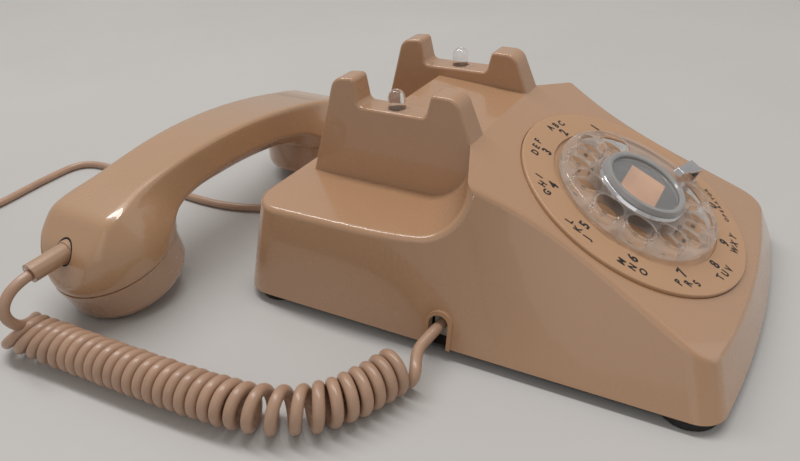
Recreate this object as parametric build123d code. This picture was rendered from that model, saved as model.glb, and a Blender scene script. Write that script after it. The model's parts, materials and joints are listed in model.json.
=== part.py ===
from build123d import *
import math
import os

# Rotary desk telephone, handset lying beside it.  Millimetres, +Z up.
# Origin: the middle of the telephone's base on the desk.  The dial faces -Y.

# ---------------------------------------------------------------- driving sizes
FOOT_H = 3.9               # rubber feet
PLATE_T = 1.2              # base plate
RIM_Z = FOOT_H + PLATE_T   # lower rim of the housing
WALL = 3.0                 # moulded wall
LEDGE_Z = 52.5             # side ledges
FORM_TOP = 108.0           # height up to which the body is lofted before it is cut
REAR_Y = 113.7
FRONT_Y = -113.5           # middle of the bowed front
CORNER_Y = -107.0          # front corners
FRONT_FLARE = 0.42
REAR_FLARE = 0.22
HALF_RIM = 83.5            # half width of the rim at the middle of its length
RIM_TAPER = 0.04           # the rim widens towards the back
REAR_LEAN, FRONT_LEAN = 0.10, 0.49   # how much the sides lean in per mm of height
TWIST_REAR_Y, TWIST_FRONT_Y = 38.0, -48.0  # the lean changes between these

SLOPE = 26.7               # degrees, front face
DIAL_Y, DIAL_Z = -52.5, 50.4
PLATE_R = 55.5             # number plate
PLATE_PROUD = 1.6          # number plate above the slope
WHEEL_R = 38.4
HOLE_R = 6.4
HOLE_CIRCLE = 29.2
FIRST_HOLE = 45            # degrees, hole of digit 1
STOP_ANGLE = -22           # degrees, finger stop

TOWER_TOP_X = 38.0         # outer faces of the cradle
TOWER_LEAN = 0.07
CHANNEL_X = 25.6           # inner faces of the cradle
SEAT_Z = 88.5
EAR_FRONT_Z, EAR_REAR_Z = 98.8, 101.5
EAR_FRONT_Y, EAR_REAR_Y = 16.9, 80.3
DECK_FRONT_Y, DECK_REAR_Z = 10.4, 84.0   # low deck between the cradle walls
GAP_FRONT_Y, GAP_REAR_Y = 32.0, 67.0
SCOOP_R = 23.0             # hollow blend at the front end of each ledge
SCOOP_SKEW = 0.42
HANDHOLD_Y = 58.0

PLUNGER_X, PLUNGER_Y = 32.65, 49.4
PLUNGER_R = 4.0
PLUNGER_TOP = SEAT_Z + 8.9
PLUNGER_LOW = 60.8
RUN_FIT = 0.08             # running clearance, radial
PIVOT_Y, PIVOT_Z = 22.0, 60.0

GONG_X, GONG_Y, GONG_R = 30.0, 76.0, 26.0
CLAPPER_Y = 60.0
BALL_R = 3.0

HS_X, HS_Y = -33.5, 166.0  # middle of the handset
HS_YAW = -1.4

LEAD_D = 5.0               # handset cord
CURL_D = 20.0              # outer diameter of its curl
LINE_D = 4.6               # line cord
LINE_Z = LINE_D / 2 + 0.1
RING_X, RING_Y = -158.0, 300.0
RING_TURN_D = 50.0         # across the middle of the turns
RING_LAYERS, RING_COLUMNS = 4, 3     # twelve turns
RING_BOTTOM = 0.8

os.makedirs("parts", exist_ok=True)
NODES = {}


def keep(name, *shapes):
    """Collect one node's solids."""
    solids = []
    for shape in shapes:
        solids += shape.solids()
    NODES[name] = solids


def box(x0, x1, y0, y1, z0, z1):
    return Pos((x0 + x1) / 2, (y0 + y1) / 2, (z0 + z1) / 2) * Box(x1 - x0, y1 - y0, z1 - z0)


def rod(x, y, z0, z1, radius):
    return Pos(x, y, (z0 + z1) / 2) * Cylinder(radius, z1 - z0)


def rod_x(y, z, x0, x1, radius):
    return Pos((x0 + x1) / 2, y, z) * Rot(0, 90, 0) * Cylinder(radius, x1 - x0)


def tube(x, y, z0, z1, outer, inner):
    return rod(x, y, z0, z1, outer) - rod(x, y, z0 - 1, z1 + 1, inner)


def polygon_yz(points, x0, x1):
    """Prism between two X planes from an outline given as (y, z)."""
    outline = make_face(Polyline(*[(x0, y, z) for y, z in points], close=True))
    return extrude(outline, x1 - x0, dir=(1, 0, 0))


def polygon_xz(points, y0, y1):
    """Prism between two Y planes from an outline given as (x, z)."""
    outline = make_face(Polyline(*[(x, y0, z) for x, z in points], close=True))
    return extrude(outline, y1 - y0, dir=(0, 1, 0))


def both_sides(solid):
    return [solid, mirror(solid, about=Plane.YZ)]


def slope_z(y):
    """Height of the housing's front slope."""
    drop = PLATE_PROUD / math.cos(math.radians(SLOPE))
    return DIAL_Z - drop + (y - DIAL_Y) * math.tan(math.radians(SLOPE))


# ---------------------------------------------------------------- housing
def side_lean(y):
    """How much the side wall leans in: upright beside the ledge, flared beside the dial."""
    way = min(max((TWIST_REAR_Y - y) / (TWIST_REAR_Y - TWIST_FRONT_Y), 0), 1)
    return REAR_LEAN + (FRONT_LEAN - REAR_LEAN) * way * way * (3 - 2 * way)


def side_line(side, inset, z):
    """Plan view of one side wall at height z, from front to back."""
    reach = 125
    spans = 10
    points = []
    for i in range(spans + 1):
        y = -reach + 2 * reach * i / spans
        half = HALF_RIM + RIM_TAPER * y - inset - side_lean(y) * (z - RIM_Z)
        points.append((side * half, y, z))
    return Spline(*points)


def side_block(inset, low):
    """Body between its two flared sides, before front, back and top are cut."""
    levels = []
    for z in (low, FORM_TOP):
        left, right = side_line(-1, inset, z), side_line(1, inset, z)
        levels.append(make_face([left, right, Line(left @ 0, right @ 0), Line(left @ 1, right @ 1)]))
    return loft(levels, ruled=True)


def plan_block(inset, low):
    """Bowed front and straight back, leaning in towards the top."""
    far = 135.0
    corner_x = 79.0
    levels = []
    for z in (low, FORM_TOP):
        front = FRONT_Y + inset + FRONT_FLARE * (z - RIM_Z)
        corner = CORNER_Y + inset + FRONT_FLARE * (z - RIM_Z)
        rear = REAR_Y - inset - REAR_FLARE * (z - RIM_Z)
        bow = ThreePointArc((-corner_x, corner, z), (0, front, z), (corner_x, corner, z))
        rest = Polyline((corner_x, corner, z), (far, corner + 12, z), (far, rear, z), (-far, rear, z),
                        (-far, corner + 12, z), (-corner_x, corner, z))
        levels.append(make_face([bow, rest]))
    return loft(levels, ruled=True)


def upright_edges(solid, front):
    picked = []
    for edge in solid.edges():
        steep = abs(edge.tangent_at(0.5).Z) > 0.6 and edge.length > 60
        if steep and abs(edge.center().X) > 30 and (edge.center().Y < 0) == front:
            picked.append(edge)
    return picked


def profile_block(inset, low):
    """Side view without the cradle: front slope, deck, hand-hold and rear ledge."""
    t = inset
    crest = DECK_FRONT_Y
    points = [(-130, low), (-130, slope_z(-130) - t), (crest, slope_z(crest) - t),
              (HANDHOLD_Y - t, DECK_REAR_Z - t), (HANDHOLD_Y + 3 - t, LEDGE_Z - t), (130, LEDGE_Z - t), (130, low)]
    return polygon_yz(points, -135, 135)


def cradle_wall(inset):
    """Left wall of the cradle: two ears with the gap that holds the handset between them."""
    t = inset
    low = 45.0
    front_slant, rear_slant = 0.38, 0.306
    rear_top = EAR_REAR_Z - 1
    points = [(EAR_FRONT_Y - front_slant * (EAR_FRONT_Z - low) + t, low), (EAR_FRONT_Y + t, EAR_FRONT_Z - t),
              (GAP_FRONT_Y - 2.8 - t, EAR_FRONT_Z + 0.2 - t), (GAP_FRONT_Y - t, SEAT_Z - t),
              (GAP_REAR_Y + t, SEAT_Z - t), (GAP_REAR_Y + 2 + t, EAR_REAR_Z - t), (EAR_REAR_Y - t, rear_top - t),
              (EAR_REAR_Y + rear_slant * (rear_top - low) - t, low)]
    wall = polygon_yz(points, -60, -CHANNEL_X - t)
    edge_x = [-TOWER_TOP_X + t - TOWER_LEAN * (EAR_REAR_Z - z) for z in (40, 110)]
    lean = polygon_xz([(edge_x[0], 40), (edge_x[1], 110), (0, 110), (0, 40)], -20, 120)
    if inset > 0:
        return wall & lean
    corners = ((EAR_FRONT_Y, EAR_FRONT_Z, 6.5), (GAP_FRONT_Y - 2.8, EAR_FRONT_Z + 0.2, 2.2),
               (GAP_FRONT_Y, SEAT_Z, 3.0), (GAP_REAR_Y, SEAT_Z, 3.0), (GAP_REAR_Y + 2, EAR_REAR_Z, 2.2),
               (EAR_REAR_Y, rear_top, 7.0))
    for y, z, radius in corners:
        near = [e for e in wall.edges() if abs(e.center().Y - y) < 0.6 and abs(e.center().Z - z) < 0.6]
        wall = fillet(near, radius)
    wall = wall & lean
    rim = [e for e in wall.edges() if e.center().Z > low + 1 and abs(e.tangent_at(0.5).X) < 0.3]
    return fillet(rim, 1.5)


def ledge_cut(inset):
    """What is taken away above the left ledge, ending in the hollow scoop at the front."""
    t = inset
    radius = SCOOP_R + t
    axis_y = 31.0 + SCOOP_SKEW * 44
    floor = LEDGE_Z - t
    top = FORM_TOP + 10
    middle = (0, axis_y - radius * math.sin(math.radians(45)), LEDGE_Z + SCOOP_R - radius * math.sin(math.radians(45)))
    front = (0, axis_y - radius, LEDGE_Z + SCOOP_R)
    arc = ThreePointArc(front, middle, (0, axis_y, floor))
    rest = Polyline((0, axis_y, floor), (0, 260, floor), (0, 260, top), (0, axis_y - radius, top), front)
    sweep_dir = Vector(-1, -SCOOP_SKEW, 0)
    prism = extrude(make_face([arc, rest]), 135 * sweep_dir.length, dir=sweep_dir.normalized())
    at_top = -TOWER_TOP_X + t
    at_low = at_top - TOWER_LEAN * (EAR_REAR_Z - LEDGE_Z)
    deeper = (EAR_REAR_Z - LEDGE_Z + 10) * TOWER_LEAN
    outside = polygon_xz([(at_top - 0.0, EAR_REAR_Z), (at_top + TOWER_LEAN * 18.5, EAR_REAR_Z + 18.5),
                          (-140, EAR_REAR_Z + 18.5), (-140, LEDGE_Z - 10), (at_top - deeper, LEDGE_Z - 10)],
                         -130, 130)
    return prism & outside


def is_main_edge(edge):
    """The long outer edges of the body that are rounded off."""
    c = edge.center()
    x = abs(c.X)
    slope_side = 56 < x < 60 and c.Z > 45 and edge.length > 60
    slope_corner = 66 < x < 68 and c.Y < -95 and c.Z > 24
    front_crease = x < 1 and c.Y < -100 and 15 < c.Z < 30
    ledge_rim = abs(c.Z - LEDGE_Z) < 0.3 and (x > 70 or c.Y > 100)
    scoop_side = abs(x - 72.2) < 2.0 and abs(c.Y - 3.2) < 4 and 50 < c.Z < 68 and edge.length > 20
    return slope_side or slope_corner or front_crease or ledge_rim or scoop_side


def rounded_block(inset, low):
    """Full-height block with its four upright corners rounded."""
    block = side_block(inset, low) & plan_block(inset, low)
    block = fillet(upright_edges(block, front=False), 16 - inset)
    return fillet(upright_edges(block, front=True), 13 - inset)


def body_form(inset, low):
    form = rounded_block(inset, low) & profile_block(inset, low)
    cut = ledge_cut(inset)
    form = form - cut - mirror(cut, about=Plane.YZ)
    if inset == 0:
        form = fillet([e for e in form.edges() if is_main_edge(e)], 3.0)
    wall = cradle_wall(inset)
    return form + wall + mirror(wall, about=Plane.YZ)


NOTCH_Y, NOTCH_HALF, NOTCH_TOP = 5.0, 4.4, 20.0
LINE_EXIT_X = 8.0
BOSSES = ((0.0, -96.0, 19.0), (-4.0, 100.0, 46.0))      # x, y, top of the housing's screw bosses


def plunger_holes(radius, z0, z1):
    return [rod(side * PLUNGER_X, PLUNGER_Y, z0, z1, radius) for side in (-1, 1)]


def notch_shape(grow, x0, x1):
    """Arched opening for the handset cord, through the left wall."""
    half = NOTCH_HALF + grow
    crown = NOTCH_TOP - NOTCH_HALF
    arch = rod_x(NOTCH_Y, crown, x0, x1, half)
    return arch + box(x0, x1, NOTCH_Y - half, NOTCH_Y + half, RIM_Z, crown)


def housing():
    outer = body_form(0, RIM_Z)
    lip = (side_block(-1.2, RIM_Z) & notch_shape(1.8, -100, -60)) - side_block(0, RIM_Z - 1)
    shell = outer + lip - body_form(WALL, 0)
    for x, y, top in BOSSES:
        shell += (rod(x, y, RIM_Z, top, 5.0) + box(x - 1, x + 1, min(y, y * 1.2), max(y, y * 1.2), RIM_Z, top)) & outer
    for post in plunger_holes(6.2, 65.1, SEAT_Z - 2):
        shell += post
    for bore in plunger_holes(PLUNGER_R + RUN_FIT, 60, 120):
        shell -= bore
    shell -= notch_shape(0, -100, -70)
    shell -= box(LINE_EXIT_X - 3.6, LINE_EXIT_X + 3.6, 100, 120, RIM_Z - 1, RIM_Z + 7)
    shell -= on_dial(rod(0, 0, -3.45, 20, PLATE_R + 0.3))
    shell -= on_dial(rod(0, 0, -12, 0, 50.0))
    for x, y, top in BOSSES:
        shell -= rod(x, y, 0, top - 3, 1.6)
    return shell


# ---------------------------------------------------------------- base
FEET = ((-67.6, -94.9), (67.6, -94.9), (-73.6, 96.8), (73.6, 96.8))
FOOT_R = 11.5
WHEEL_SLOT = (60, 71, 32, 48)


def base_plate():
    outline = rounded_block(1.5, FOOT_H) & box(-130, 130, -130, 130, FOOT_H, RIM_Z)
    for x, y in FEET:
        outline -= rod(x, y, 0, 10, 2.0)
    for x, y, top in BOSSES:
        outline -= rod(x, y, 0, 10, 1.8)
    x0, x1, y0, y1 = WHEEL_SLOT
    return outline - box(x0, x1, y0, y1, 0, 10)


def rubber_foot(x, y):
    pad = fillet((rod(x, y, 0, FOOT_H, FOOT_R)).edges().group_by(Axis.Z)[0], 1.2)
    head = rod(x, y, RIM_Z, RIM_Z + 1.4, 3.0)
    return pad + rod(x, y, FOOT_H - 0.5, RIM_Z + 0.5, 2.0) + head


def housing_screw(x, y, top):
    return rod(x, y, FOOT_H - 1.2, FOOT_H, 3.2) + rod(x, y, FOOT_H - 0.5, top - 5, 1.5)


# ---------------------------------------------------------------- dial
DIAL = Plane(origin=(0, DIAL_Y, DIAL_Z), x_dir=(1, 0, 0),
             z_dir=(0, -math.sin(math.radians(SLOPE)), math.cos(math.radians(SLOPE))))
SHAFT_R = 3.8
TRAIN_Y = -21.75           # first wheel of the dial's gear train, down the slope
GOV_X = 12.15              # governor, beside it
FRAME_LOW, FRAME_TOP = -8.0, -6.5
MOVE_LOW, MOVE_TOP = -27.0, -25.5


def on_dial(part):
    """Move a part from the dial's own axes (z out of its face) onto the slope."""
    return DIAL.location * part


def polar(radius, degrees):
    return radius * math.cos(math.radians(degrees)), radius * math.sin(math.radians(degrees))


def hole_angles():
    return [FIRST_HOLE + 30 * i for i in range(10)]


def number_plate():
    plate = fillet(rod(0, 0, -3.4, 0, PLATE_R).edges().group_by(Axis.Z)[-1], 0.8)
    recess = rod(0, 0, -1.2, 1, WHEEL_R + 2.2)
    recess = chamfer(recess.edges().group_by(Axis.Z)[0], 0.5)
    return plate - recess - rod(0, 0, -5, 0, 8.6)


FRAME_POSTS = (60, 120, 270)


def dial_frame():
    frame = rod(0, 0, FRAME_LOW, FRAME_TOP, 40)
    for angle in FRAME_POSTS:
        x, y = polar(34, angle)
        frame += rod(x, y, FRAME_TOP, -3.4, 2.6)
        frame -= rod(x, y, FRAME_LOW - 1, -3.9, 1.3)
    frame -= rod(0, 0, -10, 0, SHAFT_R + RUN_FIT)
    for x, y, radius in ((0, TRAIN_Y, 1.2), (GOV_X, TRAIN_Y, 1.0)):
        frame -= rod(x, y, -10, 0, radius + RUN_FIT)
    return frame


def dial_screw(angle):
    x, y = polar(34, angle)
    return rod(x, y, FRAME_LOW - 1.5, FRAME_LOW, 2.4) + rod(x, y, FRAME_LOW - 0.5, -4.2, 1.2)


PILLARS = (35, 145, 215)


def movement_plate():
    plate = rod(0, 0, MOVE_LOW, MOVE_TOP, 30) + box(-21, 20, -36, -20, MOVE_LOW, MOVE_TOP)
    for angle in PILLARS:
        x, y = polar(27, angle)
        plate += rod(x, y, MOVE_TOP, FRAME_LOW, 2.0)
    plate -= rod(0, 0, -30, -20, SHAFT_R + RUN_FIT)
    plate -= rod(0, TRAIN_Y, -30, -20, 1.2 + RUN_FIT)
    return plate - rod(GOV_X, TRAIN_Y, -30, -20, 1.0 + RUN_FIT)


def gear(teeth, module, width, backlash=0.12):
    """Spur gear, with involute flanks drawn as short chords, on the XY plane."""
    pitch_r = teeth * module / 2
    base_r = pitch_r * math.cos(math.radians(20))
    root_r, tip_r = pitch_r - 1.25 * module, pitch_r + 0.95 * module

    def involute(radius):
        if radius <= base_r:
            return 0.0
        turn = math.acos(base_r / radius)
        return math.tan(turn) - turn

    half_pitch = math.pi / (2 * teeth) - backlash / (2 * pitch_r) + involute(pitch_r)
    flank = [max(root_r, base_r) + (tip_r - max(root_r, base_r)) * i / 3 for i in range(4)]
    outline = []
    for tooth in range(teeth):
        middle = 2 * math.pi * tooth / teeth
        side = [(root_r, half_pitch)] + [(r, half_pitch - involute(r)) for r in flank]
        for r, a in [(r, -a) for r, a in side] + side[::-1]:
            outline.append((r * math.cos(middle + a), r * math.sin(middle + a)))
    return extrude(make_face(Polyline(*outline, close=True)), width)


MAIN_TEETH, PINION_TEETH, TRAIN_MODULE = 60, 12, 0.6
GOV_TEETH, GOV_PINION, GOV_MODULE = 36, 12, 0.5


def dial_shaft():
    return rod(0, 0, MOVE_LOW - 1, -0.9, SHAFT_R) + rod(0, 0, -0.9, 0.6, 8.0)


def main_gear():
    wheel = Pos(0, 0, -14) * gear(MAIN_TEETH, TRAIN_MODULE, 2.0)
    for angle in range(0, 360, 60):
        x, y = polar(11, angle)
        wheel -= rod(x, y, -15, -11, 3.2)
    return wheel - rod(0, 0, -15, -11, SHAFT_R)


def cam_shaft():
    pinion = Rot(0, 0, 15) * gear(PINION_TEETH, TRAIN_MODULE, 2.4)
    return rod(0, TRAIN_Y, MOVE_LOW - 0.5, FRAME_TOP - 0.3, 1.2) + Pos(0, TRAIN_Y, -14.2) * pinion


def governor_gear():
    return Pos(0, TRAIN_Y, -17.5) * gear(GOV_TEETH, GOV_MODULE, 1.5) - rod(0, TRAIN_Y, -19, -15, 1.2)


def pulse_cam():
    """Two-lobed cam that opens the contacts as the dial runs back."""
    cam = extrude(Ellipse(3.9, 2.6), 1.0)
    return Pos(0, TRAIN_Y, -19.5) * cam - rod(0, TRAIN_Y, -21, -15, 1.2)


def governor_shaft():
    pinion = Pos(GOV_X, TRAIN_Y, -17.7) * Rot(0, 0, 15) * gear(GOV_PINION, GOV_MODULE, 1.9)
    return rod(GOV_X, TRAIN_Y, MOVE_LOW - 0.5, FRAME_TOP - 0.3, 1.0) + pinion


def governor_weights():
    """Two lobes on a thin bar; they swing out against the cup and hold the speed."""
    lobes = rod(GOV_X, TRAIN_Y, -24.6, -21.2, 6.4) & box(GOV_X - 7, GOV_X + 7, TRAIN_Y - 4, TRAIN_Y + 4, -25, -20)
    lobes -= tube(GOV_X, TRAIN_Y, -25, -21, 4.6, 2.2)
    bar = box(GOV_X - 6.0, GOV_X + 6.0, TRAIN_Y - 0.8, TRAIN_Y + 0.8, -24.6, -21.2)
    return lobes + bar - rod(GOV_X, TRAIN_Y, -26, -20, 1.0)


def governor_cup():
    return tube(GOV_X, TRAIN_Y, MOVE_TOP, -20.6, 8.4, 7.2)


def pulse_contacts():
    block = box(-20.5, -13, -31, -25, MOVE_TOP, -16)
    leaves = [box(-13, 2, TRAIN_Y - 4.9 - gap, TRAIN_Y - 4.5 - gap, -20.6, -18.1) for gap in (0.0, 1.6)]
    stop = box(-13, -6, TRAIN_Y - 8.4, TRAIN_Y - 7.8, -20.6, -18.1)
    return [block] + leaves + [stop]


def return_spring():
    """Flat spiral that runs the dial back, its outer end on a post of the rear plate."""
    turns, steps, start, pitch, thick = 4, 20, 4.6, 1.7, 0.5
    outside, inside = [], []
    for i in range(turns * steps + 1):
        angle = 2 * math.pi * i / steps
        radius = start + pitch * i / steps
        outside.append(((radius + thick) * math.cos(angle), (radius + thick) * math.sin(angle)))
        inside.append((radius * math.cos(angle), radius * math.sin(angle)))
    strip = extrude(make_face(Polyline(*(outside + inside[::-1]), close=True)), 4.5)
    post = rod(start + pitch * turns + thick, 0, MOVE_TOP, -18.5, 1.0)
    return (Pos(0, 0, -23.5) * strip) + post


def dial_brackets():
    """Two plates that carry the dial frame over the base plate."""
    lean = math.radians(SLOPE)
    reach = 19
    under = []
    for along in (-reach, reach):
        under.append((DIAL_Y + along * math.cos(lean) - FRAME_LOW * math.sin(lean),
                      DIAL_Z + along * math.sin(lean) + FRAME_LOW * math.cos(lean)))
    web = polygon_yz([(-74, RIM_Z), (-30, RIM_Z), under[1], under[0]], 32.0, 33.6)
    flange = box(33.6, 41, -70, -34, RIM_Z, RIM_Z + 1.6)
    return both_sides(web + flange)


def finger_wheel():
    wheel = rod(0, 0, 0.6, 4.6, WHEEL_R)
    wheel = fillet(wheel.edges().group_by(Axis.Z)[-1], 1.3)
    for angle in hole_angles():
        x, y = polar(HOLE_CIRCLE, angle)
        wheel += rod(x, y, 4.6, 5.4, HOLE_R + 1.1)
        wheel -= rod(x, y, 0, 6, HOLE_R)
    return wheel


def ring_part(points):
    outline = make_face(Polyline(*[(r, 0, z) for r, z in points], close=True))
    return revolve(outline, Axis.Z, 360)


def ring_trim():
    return ring_part([(16.4, 4.6), (20.9, 4.6), (20.9, 5.2), (20.2, 6.4), (16.4, 6.4)])


def centre_ring():
    return ring_part([(16.4, 6.4), (19.9, 6.4), (19.9, 7.0), (18.9, 8.8), (18.2, 9.1), (17.0, 8.8),
                      (16.4, 8.2)])


def card_window():
    dome = Pos(0, 0, 8.7 - 120) * Sphere(120)
    return (rod(0, 0, 7.3, 9, 16.3) & dome) - rod(0, 0, 5, 7.5, 15.6)


def number_card():
    return rod(0, 0, 4.6, 5.2, 16.1)


def card_label():
    return box(-11, 11, -8.5, 8.5, 5.2, 5.35)


def finger_stop():
    """Bent steel hook that reaches over the wheel."""
    path = [(43.4, 0), (43.4, 7.4), (30.0, 7.4), (28.4, 6.0), (27.6, 6.4), (29.4, 8.4), (44.5, 8.4), (44.5, 0)]
    strip = polygon_xz(path, -4.2, 4.2)
    plan = make_face(Polyline((26, -1.6), (50, -4.2), (50, 4.2), (26, 1.6), close=True))
    hook = (strip & (Pos(0, 0, -5) * extrude(plan, 20))) + box(43.4, 48.0, -4.0, 4.0, 0, 1.0)
    return Rot(0, 0, STOP_ANGLE) * hook


# ---------------------------------------------------------------- hook switch
BRIDGE_Z = 46.0


def switch_bracket():
    bridge = box(-36.9, 36.9, 12, 34, BRIDGE_Z, BRIDGE_Z + 1.5)
    legs = [box(x, x + 1.5, 14, 32, RIM_Z, BRIDGE_Z) for x in (-36.9, 35.4)]
    feet = [box(x, x + 7, 14, 32, RIM_Z, RIM_Z + 1.5) for x in (-42.4, 35.4)]
    ears = [box(x, x + 1.3, 17, 27, BRIDGE_Z + 1.5, PIVOT_Z + 4) for x in (-36.9, 35.6)]
    solid = bridge
    for piece in legs + feet + ears:
        solid += piece
    return solid - rod_x(PIVOT_Y, PIVOT_Z, -50, 50, 1.5)


def bail():
    barrel = rod_x(PIVOT_Y, PIVOT_Z, -35.3, 35.3, 3.0)
    arms = [box(side * PLUNGER_X - 2.5, side * PLUNGER_X + 2.5, PIVOT_Y, 53.5, PIVOT_Z - 0.75, PIVOT_Z + 0.75)
            for side in (-1, 1)]
    tab = box(10, 16, PIVOT_Y, 38, PIVOT_Z - 0.75, PIVOT_Z + 0.75)
    solid = barrel
    for piece in arms + [tab]:
        solid += piece
    return solid - rod_x(PIVOT_Y, PIVOT_Z, -50, 50, 1.5 + RUN_FIT)


def bail_pin():
    return rod_x(PIVOT_Y, PIVOT_Z, -37.2, 37.2, 1.5)


def hook_spring():
    """Torsion spring round the bail's barrel, one leg on the bridge."""
    coils = [rod_x(PIVOT_Y, PIVOT_Z, x, x + 0.9, 4.3) - rod_x(PIVOT_Y, PIVOT_Z, x - 1, x + 2, 3.3)
             for x in (-9.0, -7.8, -6.6, -5.4)]
    spine = box(-9, -4.5, PIVOT_Y - 4.3, PIVOT_Y - 3.4, PIVOT_Z - 0.5, PIVOT_Z + 0.5)
    leg = box(-9, -8.1, PIVOT_Y - 4.3, PIVOT_Y - 3.4, BRIDGE_Z + 1.5, PIVOT_Z)
    solid = spine + leg
    for coil in coils:
        solid += coil
    return solid


def switch_contacts():
    base = BRIDGE_Z + 1.5
    block = box(9, 20, 14, 26, base, base + 7.5)
    leaves = [box(10.5, 18.5, 26, 46 - 2 * i, base + 1.2 + 1.7 * i, base + 1.5 + 1.7 * i) for i in range(4)]
    return [block] + leaves


def plunger(side):
    x = side * PLUNGER_X
    low, top = PLUNGER_LOW + PLUNGER_R, PLUNGER_TOP - PLUNGER_R
    ends = [Pos(x, PLUNGER_Y, z) * Sphere(PLUNGER_R) for z in (low, top)]
    return rod(x, PLUNGER_Y, low, top, PLUNGER_R) + ends[0] + ends[1] + rod(x, PLUNGER_Y, 63, 65, 4.7)


# ---------------------------------------------------------------- ringer and network
COIL_Y, COIL_Z = 54.0, 17.0


def ringer_frame():
    plate = box(-36, 36, 44, 88, RIM_Z, RIM_Z + 1.5)
    cheeks = [box(x, x + 2, 47, 63, RIM_Z + 1.5, 28) for x in (-18, 16)]
    bridge = box(-18, 18, 57, 63, 28, 30)
    solid = plate + bridge
    for piece in cheeks:
        solid += piece
    for side in (-1, 1):
        solid += rod(side * GONG_X, GONG_Y, RIM_Z + 1.5, 41, 3.0)
    return solid - rod_x(COIL_Y, COIL_Z, -40, 40, 3.5)


def ringer_core():
    return rod_x(COIL_Y, COIL_Z, -21, 21, 3.5)


def ringer_coil():
    bobbin = rod_x(COIL_Y, COIL_Z, -16, 16, 9.0)
    flanges = [rod_x(COIL_Y, COIL_Z, x, x + 1.2, 10.2) for x in (-16, 14.8)]
    solid = bobbin + flanges[0] + flanges[1]
    return solid - rod_x(COIL_Y, COIL_Z, -30, 30, 3.5)


def gong(side):
    """Brass bell, open downwards."""
    outline = [(3.1, 42.2), (19, 42.2), (24.6, 39.6), (GONG_R, 35), (GONG_R, 30), (GONG_R - 1.2, 30),
               (GONG_R - 1.2, 34.8), (23.8, 38.6), (18.7, 41.0), (3.1, 41.0)]
    face = make_face(Polyline(*[(r, 0, z) for r, z in outline], close=True))
    return Pos(side * GONG_X, GONG_Y, 0) * revolve(face, Axis.Z, 360)


def gong_screw(side):
    x = side * GONG_X
    return rod(x, GONG_Y, 42.2, 44.6, 4.2) + rod(x, GONG_Y, 41, 42.3, 2.8)


def clapper():
    hub = tube(0, CLAPPER_Y, 30.2, 34, 2.6, 1.0 + RUN_FIT)
    arm = box(-0.8, 0.8, CLAPPER_Y + 2, GONG_Y, 31.2, 32.8)
    return hub + arm + Pos(0, GONG_Y, 32) * Sphere(BALL_R)


def clapper_pin():
    return rod(0, CLAPPER_Y, 30, 35.6, 1.0)


def volume_wheel():
    wheel = rod(58, 40, 6.0, 9.0, 12)
    for i in range(24):
        x, y = polar(12.4, 15 * i)
        wheel -= rod(58 + x, 40 + y, 5, 10, 0.9)
    return wheel - rod(58, 40, 5, 10, 2.0 + RUN_FIT)


def wheel_axle():
    return rod(58, 40, RIM_Z, 9.4, 2.0) + rod(58, 40, 9.4, 10.4, 3.6) + rod(58, 40, RIM_Z, 5.9, 3.6)


def network_block():
    can = box(-34, 26, -4, 11, RIM_Z, 32) + box(-34, 26, 11, 38, RIM_Z, 32)
    return fillet(can.edges().filter_by(Axis.Z), 3)


def terminal_screws():
    return [rod(-28 + 12 * col, 2 + 9 * row, 32, 34.2, 2.6) for col in range(5) for row in range(4)]


# ---------------------------------------------------------------- handset
# Handset axes: X along the handle, transmitter at -X, Z up from the desk.
CAP_H = {-1: 19.5, 1: 19.0}            # height of each cap, face to seam
CAP_TILT = {-1: 15.0, 1: 10.0}         # degrees each cap leans; it rests on its outer edge
CAP_X = {-1: -75.4, 1: 77.2}           # centre of each cap's face
CAP_FACE_R = 30.0
BOOT_X, BOOT_Z = -104.0, 39.0
# along the handle: x, top, lower edge of the sides, belly, and half widths there
SECTIONS = ((-64, 59.4, 37, 27, 16.6, 24.5, 18), (-52, 61.2, 42, 36, 17.0, 21.0, 13.5),
            (-38, 62.9, 46.3, 40.4, 17.6, 19.2, 12), (-15, 64.2, 48.3, 41.8, 18.3, 19.4, 11.5),
            (10, 63.4, 47.6, 41.0, 18.8, 19.8, 11.5), (32, 61.0, 45.0, 38.2, 19.0, 20.2, 12),
            (47, 58.6, 41.0, 34.0, 19.0, 21.8, 13.5), (62, 55.6, 34, 24, 19.0, 25.0, 18))
TOP_LINE = ((-96, 51.0), (-92.5, 53), (-78.5, 56.3), (-57.5, 60.4), (-38.5, 62.9), (-16.5, 64.2), (-3.5, 64.1),
            (16.5, 62.9), (36.5, 60.4), (57.5, 56.6), (76.5, 52.0), (92, 47.6))


def at_cap(side, shape):
    """Place a shape drawn on a cap's own axes, Z up from its face."""
    lean = math.radians(CAP_TILT[side])
    return Pos(CAP_X[side], 0, CAP_FACE_R * math.sin(lean)) * Rot(0, side * CAP_TILT[side], 0) * shape


def bowl(side, inset):
    """Domed housing over one cap."""
    seam, t = CAP_H[side], inset
    wall = Spline((31.2 - t, 0, seam), (30.9 - t, 0, seam + 7), (28.6 - t, 0, seam + 15), (24.4 - t, 0, seam + 22),
                  (18.8 - t, 0, seam + 28.5), (10.5 - t, 0, seam + 34 - t), tangents=[(0, 0, 1), (-1, 0, 0.35)])
    rest = Polyline((10.5 - t, 0, seam + 34 - t), (0, 0, seam + 34 - t), (0, 0, seam), (31.2 - t, 0, seam))
    return at_cap(side, revolve(make_face([wall, rest]), Axis.Z, 360))


def handle_bar():
    faces = []
    for x, top, low, belly, w_top, w_side, w_belly in SECTIONS:
        high = top + 4
        corners = [(x, -w_top, high), (x, -w_side, low), (x, -w_belly, belly), (x, w_belly, belly),
                   (x, w_side, low), (x, w_top, high)]
        faces.append(make_face(Polyline(*corners, close=True)))
    return loft(faces)


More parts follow.
